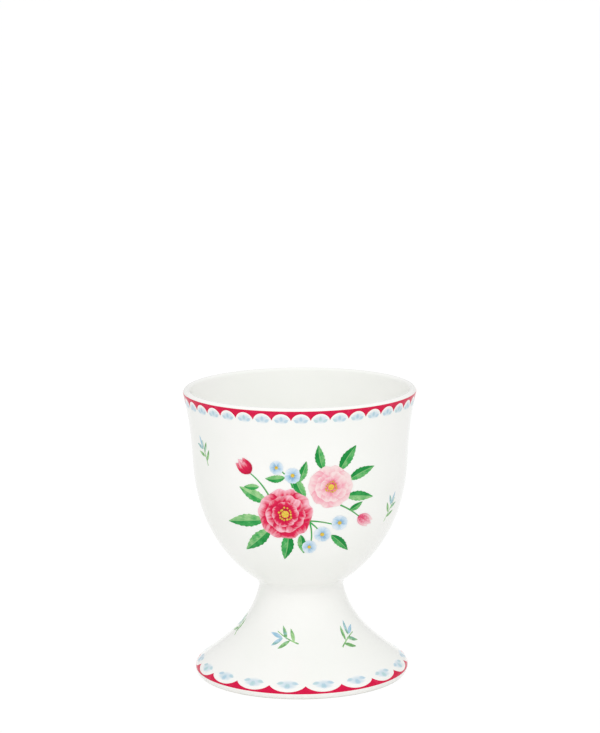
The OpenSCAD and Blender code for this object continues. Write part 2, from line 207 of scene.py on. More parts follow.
class Outline:
    """The lines that the pottery is turned to, as points of radius and height, from the sizes."""

    def __init__(self):
        cup = sizes()
        self.seat_angle = math.pi / 2 - cup.belly_lean
        self.seat_radius = cup.waist_radius / math.sin(self.seat_angle)
        self.seat_middle = Vector((0, cup.waist_height + self.seat_radius * math.cos(self.seat_angle)))
        self.foot_seat = self.seat_radius + cup.slip
        self.draw_bowl(cup)
        self.draw_foot(cup)

    def draw_bowl(self, cup):
        """The bowl's outside, its round lip, and its inside from the lip down to the axis."""
        lip = cup.lip_thickness / 2
        self.lip_middle = Vector((cup.rim_radius - lip, cup.cup_height - lip))
        shoulder = Vector((cup.rim_radius - cup.rim_flare, cup.cup_height - cup.flare_height))
        waist = Vector((cup.waist_radius, cup.waist_height))
        floor = self.seat_middle - Vector((0, self.seat_radius - cup.bowl_floor))
        belly = curve(waist, rising(cup.belly_lean), shoulder, rising(cup.shoulder_lean),
                      BELLY_SHARES, LONG_STEPS)
        lip_start = self.lip_middle + lip * Vector((math.cos(cup.rim_lean), -math.sin(cup.rim_lean)))
        flare = curve(shoulder, rising(cup.shoulder_lean), lip_start, rising(cup.rim_lean),
                      FLARE_SHARES, SHORT_STEPS)
        self.lip = arc(self.lip_middle, lip, -cup.rim_lean, math.pi - cup.rim_lean, SHORT_STEPS)
        inner_shoulder = shoulder - Vector((cup.bowl_wall, 0))
        inside_flare = curve(self.lip[-1], -rising(cup.rim_lean), inner_shoulder,
                             -rising(cup.shoulder_lean), FLARE_SHARES, SHORT_STEPS)
        inside_belly = curve(inner_shoulder, -rising(cup.shoulder_lean), floor, Vector((-1, 0)),
                             INSIDE_SHARES, LONG_STEPS)
        self.bowl = belly + flare[1:]
        self.inside = inside_flare[1:] + inside_belly[1:]

    def draw_foot(self, cup):
        """The foot's outside from the waist down, and its hollow from the bare ring up to the seat."""
        edge_middle = Vector((cup.foot_radius - cup.edge_radius, cup.edge_height))
        edge_end = -math.asin(cup.edge_height / cup.edge_radius)
        edge = arc(edge_middle, cup.edge_radius, cup.foot_lean, edge_end, SHORT_STEPS)
        trumpet = curve(self.seat(self.foot_seat, self.seat_angle), falling(cup.stem_lean), edge[0],
                        falling(cup.foot_lean), FOOT_SHARES, LONG_STEPS)
        self.foot = trumpet + edge[1:]
        ring = Vector((self.foot[-1].x - cup.ring_width, 0))
        self.hollow_angle = math.asin((cup.waist_radius - cup.foot_wall) / self.foot_seat)
        self.hollow = curve(ring, -falling(cup.foot_lean), self.seat(self.foot_seat, self.hollow_angle),
                            -falling(cup.stem_lean), HOLLOW_SHARES, LONG_STEPS)

    def seat(self, radius, angle):
        """Point of the round seat at an angle from straight down."""
        return self.seat_middle + radius * Vector((math.sin(angle), -math.cos(angle)))

    def seat_arc(self, radius, start, end):
        return [self.seat(radius, start + (end - start) * i / SHORT_STEPS) for i in range(SHORT_STEPS + 1)]

    def rim(self):
        """The bowl's outside, up to the top of the lip."""
        return self.bowl + [point for point in self.lip[1:] if point.x > self.lip_middle.x]


class Surface:
    """A turned outside surface, on which the transfers lie."""

    def __init__(self, line):
        self.line = sorted(line, key=lambda point: point.y)
        self.heights = [point.y for point in self.line]

    def at(self, height):
        """Radius and outward direction at a height."""
        low = min(max(bisect_right(self.heights, height) - 1, 0), len(self.line) - 2)
        start, end = self.line[low], self.line[low + 1]
        share = min(max((height - start.y) / (end.y - start.y), 0), 1)
        along = (end - start).normalized()
        return start.x + (end.x - start.x) * share, Vector((along.y, -along.x))

    def point(self, turn, height, lift):
        """Point at a turn round the axis and a height, lifted off the surface."""
        radius, out = self.at(height)
        reach = radius + out.x * lift
        return Vector((reach * math.cos(turn), reach * math.sin(turn), height + out.y * lift))

    def seen(self, turn, x, height, lift):
        """The point that a flat drawing's x and height fall on, seen straight along that turn."""
        radius = self.at(height)[0]
        return self.point(turn + math.asin(max(-1, min(1, x / radius))), height, lift)


# Meshes
SHARP = math.radians(35)
SPIN_STEPS = 192
POLE_MERGE = 0.001 * MM
SEAM_MERGE = 0.0005 * MM


def finish_piece(bm, name, node, slot, *materials):
    """Writes the mesh, shades it smooth with sharp corners, hangs the piece on the root body and hides the
    part that it replaces.
    """
    for face in bm.faces:
        face.smooth = True
    for edge in bm.edges:
        edge.smooth = len(edge.link_faces) == 2 and edge.calc_face_angle(0) < SHARP
    mesh = bpy.data.meshes.new(name)
    bm.to_mesh(mesh)
    bm.free()
    piece = bpy.data.objects.new(name, mesh)
    bpy.context.scene.collection.objects.link(piece)
    for material in materials:
        mesh.materials.append(material)
    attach(piece, BODY)
    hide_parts(node)


def turned(points):
    """Closed solid of revolution from a line of radius and height. Ends off the axis are joined first."""
    bm = bmesh.new()
    verts = [bm.verts.new((point.x, 0, point.y)) for point in points]
    edges = [bm.edges.new(pair) for pair in zip(verts, verts[1:])]
    if points[0].x > 0 or points[-1].x > 0:
        edges.append(bm.edges.new((verts[-1], verts[0])))
    bmesh.ops.spin(bm, geom=verts + edges, cent=(0, 0, 0), axis=(0, 0, 1), dvec=(0, 0, 0),
                   angle=2 * math.pi, steps=SPIN_STEPS, use_merge=True, use_duplicate=False)
    bmesh.ops.remove_doubles(bm, verts=bm.verts, dist=POLE_MERGE)
    bmesh.ops.recalc_face_normals(bm, faces=bm.faces)
    return bm


FILM = 0.04 * MM
# Lift of one brush layer over the next, so that strokes that overlap stay apart
LAYER = 0.015 * MM


class Transfer:
    """Enamel film made of patches that lie on a turned surface."""

    def __init__(self):
        self.bm = bmesh.new()
        self.bm.loops.layers.uv.new("UVMap")
        self.tone = self.bm.faces.layers.float.new("tone")

    def patch(self, cells, place, tone=0.5):
        """A grid of cells. place(u, v) gives a point for u from -1 to 1 and v from 0 to 1."""
        across, along = cells
        made = bmesh.ops.create_grid(self.bm, x_segments=across, y_segments=along, size=1, calc_uvs=True)
        for vert in made["verts"]:
            vert.co = place(vert.co.x, (vert.co.y + 1) / 2)
            for face in vert.link_faces:
                face[self.tone] = tone

    def done(self, name, node, slot, material):
        """Merges the seams, turns every face outwards, and gives the film its thickness."""
        bm = self.bm
        bmesh.ops.remove_doubles(bm, verts=bm.verts, dist=SEAM_MERGE)
        bmesh.ops.recalc_face_normals(bm, faces=bm.faces)
        for face in bm.faces:
            middle = face.calc_center_median()
            if face.normal.dot(Vector((middle.x, middle.y, 0))) < 0:
                face.normal_flip()
        bmesh.ops.solidify(bm, geom=bm.faces[:], thickness=FILM)
        finish_piece(bm, name, node, slot, material)


# Flat strokes. An outline gives x and height for u from -1 to 1 across a stroke and v from 0 to 1 along it
LEAF_FOOT_POWER = 0.85
LEAF_FULL_POWER = 0.9
PETAL_FOOT_SHARE = 0.14
PETAL_BROAD_SHARE = 0.74
PETAL_DRAWN_SHARE = 0.22
PETAL_ROUND_SHARE = 0.2
NOTCH_WIDTH_SHARE = 0.32
STALK_TAPER_SHARE = 0.35


def leaf_outline(long, wide, bend=0.0, teeth=0, bite=0.0):
    """Pointed at both ends, broadest a little below its middle, bent sideways or toothed if asked."""
    def place(u, v):
        half = wide / 2 * math.sin(math.pi * v ** LEAF_FOOT_POWER) ** LEAF_FULL_POWER
        if teeth:
            half *= 1 - bite * (1 - (v * teeth) % 1)
        return u * half + bend * long * math.sin(math.pi * v), long * v
    return place


def petal_outline(long, wide, notch):
    """Narrow at its foot, broadest towards its tip, which is round with a notch in the middle."""
    def place(u, v):
        rise = math.sin(min(v / PETAL_BROAD_SHARE, 1) * math.pi / 2)
        past = max(0, (v - PETAL_BROAD_SHARE) / (1 - PETAL_BROAD_SHARE))
        full = PETAL_FOOT_SHARE + (1 - PETAL_FOOT_SHARE) * rise
        half = wide / 2 * full * (1 - PETAL_DRAWN_SHARE * past ** 2)
        dip = notch * math.exp(-(u / NOTCH_WIDTH_SHARE) ** 2) * v ** 4
        return u * half, long * (v * (1 - PETAL_ROUND_SHARE * u * u * v) - dip)
    return place


def disc_outline(radius):
    def place(u, v):
        up = 2 * v - 1
        return radius * u * math.sqrt(1 - up * up / 2), radius * up * math.sqrt(1 - u * u / 2)
    return place


def stalk_outline(bend, width, sweep):
    """Stalk that leaves the origin upwards and bends to the right, or left if bend is below 0."""
    def place(u, v):
        turn = sweep * v
        radius = abs(bend) + u * width / 2 * (1 - STALK_TAPER_SHARE * v)
        x = abs(bend) - radius * math.cos(turn)
        return math.copysign(1, bend) * x, radius * math.sin(turn)
    return place


def turned_by(outline, angle, x, y):
    """Turns a flat outline by an angle in degrees, then moves it."""
    cosine, sine = math.cos(math.radians(angle)), math.sin(math.radians(angle))

    def place(u, v):
        across, up = outline(u, v)
        return x + across * cosine - up * sine, y + across * sine + up * cosine
    return place


# Glaze and enamel: size of the clouds, grains and waves in each
GLAZE_CLOUD = 14 * MM
GLAZE_DULL = 7 * MM
GLAZE_WAVE = 2.4 * MM
GLAZE_WAVE_DEPTH = 0.05 * MM
BARE_GRAIN = 0.25 * MM
BARE_GRAIN_DEPTH = 0.03 * MM
BARE_RUB = 3 * MM
# Size of the paler crimson clouds on the bands, which are partly painted sheen
BAND_SHEEN_CLOUD = 1.8 * MM
BAND_SPECK = 0.3 * MM
LACE_DRIFT = 5 * MM
LACE_BLOTCH = 0.5 * MM
PETAL_BLOTCH = 1.6 * MM
LEAF_BLOTCH = 1.5 * MM
STEM_BLOTCH = 1.2 * MM
SPRIG_BLOTCH = 0.9 * MM
SPRIG_DRIFT = 1.1 * MM
CENTRE_GRAIN = 0.32 * MM
GLAZE_IOR = 1.5
GLAZE_SHINE = 0.3
ENAMEL_SHINE = 0.2
BAND_SHINE = 0.12
GLAZE_ROUGHNESS = (0.07, 0.12)
BARE_ROUGHNESS = 0.75
# Petals: how often strokes repeat across and along one, how far apart two petals' strokes are picked, and
# how far strokes, blotches and the petal's own tone move its colour
STROKE_REPEATS = (9, 1.2, 1)
STROKE_STEP = 37
STROKE_SWING = 0.7
BLOTCH_SWING = 0.5
TONE_SWING = 0.35
# Leaves: side veins along one, and how steeply they rise to its edge
LEAF_VEINS = 7
VEIN_RISE = 5


class Paint:
    """A material's node tree, built step by step."""

    def __init__(self, name):
        self.material = bpy.data.materials.new(name)
        self.material.use_nodes = True
        self.tree = self.material.node_tree
        self.shader = self.tree.nodes["Principled BSDF"]

    def node(self, kind, **settings):
        made = self.tree.nodes.new(kind)
        for name, value in settings.items():
            setattr(made, name, value)
        return made

    def put(self, value, socket):
        """Links another node's socket, or sets a number or colour."""
        if isinstance(value, bpy.types.NodeSocket):
            self.tree.links.new(value, socket)
        elif socket.type == "RGBA":
            socket.default_value = (*value, 1)
        else:
            socket.default_value = value

    def maths(self, operation, a, b=0.0, clamp=False):
        made = self.node("ShaderNodeMath", operation=operation, use_clamp=clamp)
        self.put(a, made.inputs[0])
        self.put(b, made.inputs[1])
        return made.outputs[0]

    def plus(self, a, b, clamp=False):
        return self.maths("ADD", a, b, clamp)

    def minus(self, a, b):
        return self.maths("SUBTRACT", a, b)

    def times(self, a, b):
        return self.maths("MULTIPLY", a, b)

    def swing(self, value, amount):
        """A value round one half as a swing round 0."""
        return self.times(self.minus(value, 0.5), amount)

    def from_middle(self, value):
        """0 on the middle line of a stroke and 1 at its edges."""
        return self.times(self.maths("ABSOLUTE", self.minus(value, 0.5)), 2)

    def mix(self, share, a, b, blend="MIX"):
        made = self.node("ShaderNodeMix", data_type="RGBA", blend_type=blend)
        self.put(share, made.inputs[0])
        self.put(a, made.inputs[6])
        self.put(b, made.inputs[7])
        return made.outputs[2]

    def spot(self):
        """Object coordinates."""
        return self.node("ShaderNodeTexCoord").outputs["Object"]

    def stroke_map(self):
        """The piece's own UV map."""
        return self.node("ShaderNodeUVMap", uv_map="UVMap").outputs[0]

    def across_along(self):
        """Places across and along a petal, leaf or stalk, 0 to 1."""
        parts = self.node("ShaderNodeSeparateXYZ")
        self.put(self.stroke_map(), parts.inputs[0])
        return parts.outputs[0], parts.outputs[1]

    def tone(self):
        return self.node("ShaderNodeAttribute", attribute_name="tone").outputs["Fac"]

    def noise(self, size, place=None, detail=2.0, roughness=0.5):
        """Noise with blobs about that size, in the units of its place."""
        made = self.node("ShaderNodeTexNoise")
        self.put(place or self.spot(), made.inputs["Vector"])
        self.put(1 / size, made.inputs["Scale"])
        self.put(detail, made.inputs["Detail"])
        self.put(roughness, made.inputs["Roughness"])
        return made.outputs[0]

    def ramp(self, value, *stops):
        """Colours that run into each other, each given with its place from 0 to 1."""
        made = self.node("ShaderNodeValToRGB")
        self.put(value, made.inputs[0])
        points = made.color_ramp.elements
        while len(points) < len(stops):
            points.new(0.5)
        for point, (place, tint) in zip(points, stops):
            point.position = place
            point.color = (*tint, 1)
        return made.outputs[0]

    def step(self, value, low, high):
        """0 at low and 1 at high, with a smooth rise between them."""
        made = self.node("ShaderNodeMapRange", interpolation_type="SMOOTHSTEP")
        self.put(value, made.inputs[0])
        self.put(low, made.inputs[1])
        self.put(high, made.inputs[2])
        return made.outputs[0]

    def relief(self, height, strength, depth):
        bump = self.node("ShaderNodeBump")
        self.put(strength, bump.inputs["Strength"])
        self.put(depth, bump.inputs["Distance"])
        self.put(height, bump.inputs["Height"])
        self.put(bump.outputs[0], self.shader.inputs["Normal"])

    def gloss(self, base, shine=ENAMEL_SHINE):
        """The glass-smooth glaze that covers pottery and enamel alike."""
        clear, dull = GLAZE_ROUGHNESS
        self.put(base, self.shader.inputs["Base Color"])
        self.put(GLAZE_IOR, self.shader.inputs["IOR"])
        self.put(shine, self.shader.inputs["Specular IOR Level"])
        patches = self.ramp(self.noise(GLAZE_DULL), (0.3, (clear,) * 3), (0.7, (dull,) * 3))
        self.put(patches, self.shader.inputs["Roughness"])
        self.relief(self.noise(GLAZE_WAVE, detail=1.0), strength=0.12, depth=GLAZE_WAVE_DEPTH)
        return self.material


def glaze_material():
    paint = Paint("white_glaze")
    cloud = paint.step(paint.noise(GLAZE_CLOUD, detail=3.0), low=0.35, high=0.65)
    return paint.gloss(paint.mix(cloud, dye("glaze"), dye("glaze_deep")), GLAZE_SHINE)


def bare_material():
    """Fine sandy grain of unglazed porcelain, rubbed darker in places."""
    paint = Paint("bare_porcelain")
    grain = paint.noise(BARE_GRAIN, detail=4.0, roughness=0.7)
    rub = paint.step(paint.noise(BARE_RUB, detail=3.0), low=0.45, high=0.7)
    worn = paint.mix(rub, dye("bare"), dye("bare_worn"))
    paint.put(paint.mix(0.12, worn, grain, "MULTIPLY"), paint.shader.inputs["Base Color"])
    paint.put(BARE_ROUGHNESS, paint.shader.inputs["Roughness"])
    paint.relief(grain, strength=0.5, depth=BARE_GRAIN_DEPTH)
    return paint.material


def band_material():
    """Crimson enamel with paler clouds, partly uneven enamel and partly painted sheen, and deeper specks.
    """
    paint = Paint("band_crimson")
    # Paler clouds: partly uneven enamel, partly painted sheen
    cloud = paint.step(paint.noise(BAND_SHEEN_CLOUD, detail=3.0), low=0.52, high=0.75)
    tint = paint.mix(paint.times(cloud, 0.55), dye("band"), dye("band_uneven_and_sheen"))
    speck = paint.step(paint.noise(BAND_SPECK), low=0.3, high=0.75)
    tint = paint.mix(paint.times(speck, 0.18), tint, dye("crimson_deep"))
    return paint.gloss(tint, BAND_SHINE)


def lace_material():
    """A pale wash, tone 0, that fades into the glaze, under deeper drops that fade into the wash."""
    paint = Paint("lace_blue")
    across, along = paint.across_along()
    edge = paint.maths("MAXIMUM", paint.from_middle(across), paint.from_middle(along))
    inner = paint.step(edge, low=1.0, high=0.25)
    is_drop = paint.maths("GREATER_THAN", paint.tone(), 0.1)
    wash = paint.mix(paint.maths("MAXIMUM", inner, is_drop), dye("glaze"), dye("lace_pale"))
    drift = paint.step(paint.noise(LACE_DRIFT, detail=1.0), low=0.42, high=0.58)
    drop = paint.mix(drift, dye("lace"), dye("lace_green"))
    blotch = paint.plus(paint.noise(LACE_BLOTCH), 0.4, clamp=True)
    share = paint.times(paint.times(inner, paint.tone()), blotch)
    return paint.gloss(paint.mix(share, wash, drop))


def petal_strokes(paint):
    """Fine strokes along a petal, other ones on each."""
    stretched = paint.node("ShaderNodeMapping")
    paint.put(STROKE_REPEATS, stretched.inputs["Scale"])
    paint.put(paint.stroke_map(), stretched.inputs["Vector"])
    stepped = paint.node("ShaderNodeVectorMath", operation="ADD")
    paint.put(stretched.outputs[0], stepped.inputs[0])
    paint.put(paint.times(paint.tone(), STROKE_STEP), stepped.inputs[1])
    return paint.noise(1, stepped.outputs[0])


def petal_material(kind, side_dye, turning=0.48):
    """Brushed petal: deep at its heart, pale from about turning to its edge, with its sides dyed."""
    paint = Paint(kind + "_petals")
    across, along = paint.across_along()
    value = paint.plus(along, paint.swing(petal_strokes(paint), STROKE_SWING))
    value = paint.plus(value, paint.swing(paint.noise(PETAL_BLOTCH), BLOTCH_SWING))
    value = paint.plus(value, paint.swing(paint.tone(), TONE_SWING))
    tint = paint.ramp(value, (0.12, dye(kind + "_deep")), (turning, dye(kind)), (1.0, dye(kind + "_pale")))
    side = paint.times(paint.step(paint.from_middle(across), low=0.82, high=1.0), 0.55)
    return paint.gloss(paint.mix(side, tint, dye(side_dye)))


def leaf_material():
    """Leaf with a dark and a light half, a pale midrib and side veins."""
    paint = Paint("leaf_green")
    across, along = paint.across_along()
    away = paint.maths("ABSOLUTE", paint.minus(across, 0.5))
    veins = paint.maths("FRACT", paint.minus(paint.times(along, LEAF_VEINS), paint.times(away, VEIN_RISE)))
    flesh = paint.step(paint.maths("ABSOLUTE", paint.minus(veins, 0.5)), low=0.5, high=0.34)
    half = paint.step(across, low=0.42, high=0.58)
    value = paint.plus(paint.times(half, 0.42), paint.times(paint.tone(), 0.45))
    value = paint.plus(value, paint.swing(paint.noise(LEAF_BLOTCH, detail=3.0), 1))
    value = paint.plus(value, paint.times(paint.minus(1.0, flesh), 0.12))
    tint = paint.ramp(value, (0.1, dye("leaf_deep")), (0.5, dye("leaf")), (0.95, dye("leaf_pale")))
    rib = paint.times(paint.step(away, low=0.06, high=0.015), 0.6)
    return paint.gloss(paint.mix(rib, tint, dye("leaf_pale")))


def stem_material():
    paint = Paint("stem_green")
    wash = paint.step(paint.noise(STEM_BLOTCH), low=0.35, high=0.7)
    return paint.gloss(paint.mix(wash, dye("leaf"), dye("stem")))


def sprig_material():
    """Soft green that turns pale blue with the tone, in uneven brushwork."""
    paint = Paint("sprig_green")
    wash = paint.step(paint.noise(SPRIG_BLOTCH), low=0.35, high=0.7)
    green = paint.mix(wash, dye("stem"), dye("leaf_pale"))
    blue = paint.mix(wash, dye("lace"), dye("blue"))
    blueness = paint.plus(paint.tone(), paint.swing(paint.noise(SPRIG_DRIFT), 1))
    return paint.gloss(paint.mix(paint.step(blueness, low=0.45, high=1.0), green, blue))


def centre_material():
    """Yellow heart with darker grains, and stamens that are darker with their tone."""
    paint = Paint("heart_yellow")
    cells = paint.node("ShaderNodeTexVoronoi")
    paint.put(paint.spot(), cells.inputs["Vector"])
    paint.put(1 / CENTRE_GRAIN, cells.inputs["Scale"])
    grain = paint.step(cells.outputs["Distance"], low=0.55, high=0.2)
    tint = paint.mix(paint.times(grain, 0.7), dye("yolk"), dye("yolk_deep"))
    tint = paint.mix(paint.times(paint.tone(), 0.9), tint, dye("yolk_deep"))
    return paint.gloss(tint)


# Pottery
BARE_TOP = 0.12 * MM


class EGGCUP_OT_bowl(Operator):
    """Turns the glazed bowl, with its rounded lip and the round seat under it"""
    bl_idname = "eggcup.bowl"
    bl_label = "Bowl"

    def execute(self, context):
        line = Outline()
        points = line.seat_arc(line.seat_radius, 0, line.seat_angle)
        points += line.bowl[1:] + line.lip[1:] + line.inside
        finish_piece(turned(points), "glazed_bowl", "bowl", "glazed_porcelain", glaze_material())
        return {"FINISHED"}


class EGGCUP_OT_foot(Operator):
    """Turns the hollow glazed foot, with the bare ring that it stands on"""
    bl_idname = "eggcup.foot"
    bl_label = "Foot"

    def execute(self, context):
        line = Outline()
        seat = line.seat_arc(line.foot_seat, line.hollow_angle, line.seat_angle)
        bm = turned(line.foot + line.hollow + seat[1:-1])
        for face in bm.faces:
            if face.calc_center_median().z < BARE_TOP:
                face.material_index = 1
        glaze = bpy.data.materials["white_glaze"]
        finish_piece(bm, "glazed_foot", "foot", "glazed_porcelain", glaze, bare_material())
        return {"FINISHED"}


class EGGCUP_OT_bead(Operator):
    """Turns the slip joint with its smoothed bead in the waist"""
    bl_idname = "eggcup.bead"
    bl_label = "Slip bead"

    def execute(self, context):
        line = Outline()
        cup = sizes()
        top_height = cup.waist_height + cup.bead_reach
        low_height = line.foot[0].y - cup.bead_reach
        top_radius, top_out = Surface(line.bowl).at(top_height)
        low_radius, low_out = Surface(line.foot).at(low_height)
        bead = curve(Vector((low_radius, low_height)), Vector((-low_out.y, low_out.x)),
                     Vector((top_radius, top_height)), Vector((-top_out.y, top_out.x)),
                     BEAD_SHARES, SHORT_STEPS)
        points = line.seat_arc(line.foot_seat, line.hollow_angle, line.seat_angle)
        points += [point for point in line.foot if low_height < point.y < line.foot[0].y] + bead
        points += [point for point in reversed(line.bowl) if cup.waist_height < point.y < top_height]
        points += line.seat_arc(line.seat_radius, line.seat_angle, line.hollow_angle)
        finish_piece(turned(points), "slip_bead", "slip_joint", "slip", bpy.data.materials["white_glaze"])
        return {"FINISHED"}


# Bands and lace: turn of the first scallop's middle from the front, and cells across and along a patch
RIM_TURN = math.radians(0.5)
FOOT_TURN = math.radians(12)
RIM_BAND_CELLS = (16, 10)
FOOT_BAND_CELLS = (32, 10)
RIM_LACE_CELLS = (6, 8)
FOOT_LACE_CELLS = (8, 10)
# Strokes of a fan, the wash first: length and width, turn in degrees, x and height, and tone, with the
# lengths as shares of a drop's size. On the rim an upright drop stands between two leaves that open
# upwards, and on the foot a broad one stands below two leaves that droop outwards
RIM_FAN_SHARES = ((3.5, 2.1, 90, 1.75, 0.48, 0), (1.2, 0.9, 0, 0, 0, 0.7),
                  (1.15, 0.75, 64, -0.38, 0, 0.5), (1.15, 0.75, -64, 0.38, 0, 0.5))
FOOT_FAN_SHARES = ((3.5, 2.0, 90, 1.75, 0.75, 0), (1.1, 1.15, 0, 0, 0, 0.7),
                   (1.2, 0.62, 104, -0.5, 1.14, 0.55), (1.2, 0.62, -104, 0.5, 1.14, 0.55))
STROKES_IN_LAYER = 3


def turns_round(number, first_turn):
    return [FRONT + first_turn + 2 * math.pi / number * i for i in range(number)]


def round_scallop(number, radius, arch):
    """Half the turn that a scallop takes, and its fall from the middle to a side u."""
    half_turn = math.pi / number
    half = radius * math.sin(half_turn)
    round_radius = (half * half + arch ** 2) / (2 * arch)

    def fall(u):
        return round_radius - math.sqrt(round_radius ** 2 - (u * half) ** 2)
    return half_turn, fall


def paint_fan(transfer, cells, surface, turn, shares, drop, base, rise=1):
    """Lays a fan's flat strokes over each other on the surface. Heights are flattened by rise."""
    for stroke, (long, wide, tilt, x, y, tone) in enumerate(shares):
        outline = turned_by(leaf_outline(drop * long, drop * wide), tilt, drop * x, drop * y)

        def place(u, v):
            across, up = outline(u, v)
            return surface.seen(turn, across, base + up * rise, LAYER * (1 + stroke / STROKES_IN_LAYER))
        transfer.patch(cells, place, tone)


class EGGCUP_OT_rim_band(Operator):
    """Lays the crimson band with its scallops round the rim"""
    bl_idname = "eggcup.rim_band"
    bl_label = "Rim band"

    def execute(self, context):
        cup = sizes()
        surface = Surface(Outline().rim())
        top = cup.cup_height - cup.band_drop
        peak = top - cup.rim_band
        half_turn, fall = round_scallop(cup.rim_scallops, surface.at(peak)[0], cup.rim_arch)
        transfer = Transfer()
        for turn in turns_round(cup.rim_scallops, RIM_TURN):
            def place(u, v):
                low = peak - fall(u)
                return surface.point(turn + u * half_turn, low + (top - low) * v, LAYER)
            transfer.patch(RIM_BAND_CELLS, place)
        transfer.done("rim_band", "rim_scallop_band", "crimson_enamel", band_material())
        return {"FINISHED"}


class EGGCUP_OT_foot_band(Operator):
    """Lays the crimson band with its scallops round the foot"""
    bl_idname = "eggcup.foot_band"
    bl_label = "Foot band"

    def execute(self, context):
        cup = sizes()
        surface = Surface(Outline().foot)
        low = cup.edge_height
        trough = low + cup.foot_band
        rise = math.cos(cup.foot_lean)
        half_turn, fall = round_scallop(cup.foot_scallops, surface.at(trough)[0], cup.foot_arch)
        transfer = Transfer()
        for turn in turns_round(cup.foot_scallops, FOOT_TURN):
            def place(u, v):
                high = trough + fall(u) * rise
                return surface.point(turn + u * half_turn, low + (high - low) * v, LAYER)
            transfer.patch(FOOT_BAND_CELLS, place)
        crimson = bpy.data.materials["band_crimson"]
        transfer.done("foot_band", "foot_scallop_band", "crimson_enamel", crimson)
        return {"FINISHED"}


class EGGCUP_OT_rim_lace(Operator):
    """Paints a fan of three drops under each scallop of the rim"""
    bl_idname = "eggcup.rim_lace"
    bl_label = "Rim lace"

    def execute(self, context):
        cup = sizes()
        surface = Surface(Outline().rim())
        base = cup.cup_height - cup.band_drop - cup.rim_band - cup.rim_fan_gap - cup.rim_drop
        transfer = Transfer()
        for turn in turns_round(cup.rim_scallops, RIM_TURN):
            paint_fan(transfer, RIM_LACE_CELLS, surface, turn, RIM_FAN_SHARES, cup.rim_drop, base)
        transfer.done("rim_lace", "rim_lace_fans", "lace_blue_enamel", lace_material())
        return {"FINISHED"}


class EGGCUP_OT_foot_lace(Operator):
    """Paints a wide fan of three drops over each scallop of the foot"""
    bl_idname = "eggcup.foot_lace"
    bl_label = "Foot lace"

    def execute(self, context):
        cup = sizes()
        surface = Surface(Outline().foot)
        rise = math.cos(cup.foot_lean)
        base = cup.edge_height + cup.foot_band + cup.foot_fan_gap * rise
        transfer = Transfer()
        for turn in turns_round(cup.foot_scallops, FOOT_TURN):
            paint_fan(transfer, FOOT_LACE_CELLS, surface, turn, FOOT_FAN_SHARES, cup.foot_drop, base, rise)
        transfer.done("foot_lace", "foot_lace_fans", "lace_blue_enamel", bpy.data.materials["lace_blue"])
        return {"FINISHED"}


# Flower spray: x, height and radius of each blossom as shares of its width, as in the solids
CRIMSON_SHARES = ((-0.1, -0.05, 0.19),)
PINK_SHARES = ((0.2, 0.13, 0.155),)
BLUE_SHARES = ((0.14, -0.2, 0.06), (0.255, -0.125, 0.058), (0.055, -0.29, 0.052),
               (-0.05, 0.215, 0.058), (-0.155, 0.265, 0.05))
# Buds: x and height of the foot of each, turn in degrees, length
CRIMSON_BUD_SHARES = ((-0.325, 0.215, 42, 0.12),)
PINK_BUD_SHARES = ((0.38, -0.092, -132, 0.11),)
# Leaves: x and height of the foot, turn in degrees, length and width
LEAF_SHARES = (
    (-0.24, -0.1, 100, 0.24, 0.1), (-0.2, -0.16, 138, 0.24, 0.1), (-0.22, 0.03, 64, 0.2, 0.085),
    (-0.08, -0.19, 172, 0.2, 0.09), (0.32, 0.17, -68, 0.18, 0.075), (0.26, 0.24, -34, 0.19, 0.08),
    (0.15, 0.25, 10, 0.17, 0.07), (0.3, 0.06, -100, 0.18, 0.075), (0.2, -0.21, -140, 0.17, 0.065),
    (0.03, 0.06, 24, 0.18, 0.075), (-0.27, 0.13, 95, 0.1, 0.045), (0.32, -0.045, -60, 0.1, 0.045),
    (-0.1, 0.2, 95, 0.13, 0.055), (-0.01, 0.17, -20, 0.15, 0.06), (0, -0.2, -172, 0.14, 0.06))
# Stalks: x and height of the start, turn, radius of the bend, sweep in degrees
STALK_SHARES = ((-0.2, 0.06, 25, -0.41, 28), (0.26, 0, -118, 0.45, 20), (0.05, -0.08, -160, 0.35, 40),
                (-0.05, 0.13, 13, -0.194, 50), (0.05, -0.1, -92, 0.5, 20), (0.05, -0.1, -128, 0.39, 20))
STALK_WIDTH_SHARE = 0.012
STALK_TONE = 0.2
# Rings of petals from the outer one inwards: share of the blossom's radius, turn in degrees
FULL_RINGS = ((1.0, 0), (0.74, 36), (0.5, 8))
ONE_RING = ((1.0, 0),)
PETALS = 5
PETAL_WIDTH_SHARE = 1.16
# Ranges that each petal's sway in degrees, length and notch are drawn from
PETAL_SWAY = (-5, 5)
PETAL_LENGTH_SHARE = (0.94, 1.0)
PETAL_NOTCH_SHARE = (0.05, 0.13)
# Petals of a bud: tilt in degrees, share of the bud's length
BUD_PETALS = ((-16, 0.95), (16, 0.95), (0, 1.0))
BUD_WIDTH_SHARE = 0.55
# A leaf's teeth, how deep they bite into its width, and the range that its bend is drawn from
LEAF_TEETH = 7
LEAF_BITE_SHARE = 0.16
LEAF_BEND_SHARE = (-0.06, 0.06)
# Radius of the yellow hearts, as a share of the blossom's
HEART_SHARE = 0.13
SMALL_HEART_SHARE = 0.22
SMALL_HEART_TONE = 0.1
# Stamens of a full blossom, and the ranges that their sway in degrees, distance from the middle, radius and
# tone are drawn from
STAMENS = 15
STAMEN_SWAY = (-6, 6)
STAMEN_AWAY_SHARE = (0.18, 0.25)
STAMEN_SHARE = (0.028, 0.042)
STAMEN_TONE = (0, 0.6)
# Layers of the spray, from the glaze outwards, and the lift of each leaf and petal over the one before it
STALK_LAYER = 1
LEAF_LAYER = 2
LEAF_LIFT = 0.2
BLOSSOM_LAYER = 5
PETAL_LIFT = 0.25
SMALL_HEART_LAYER = 9
HEART_LAYER = 12
STAMEN_LAYER = 13
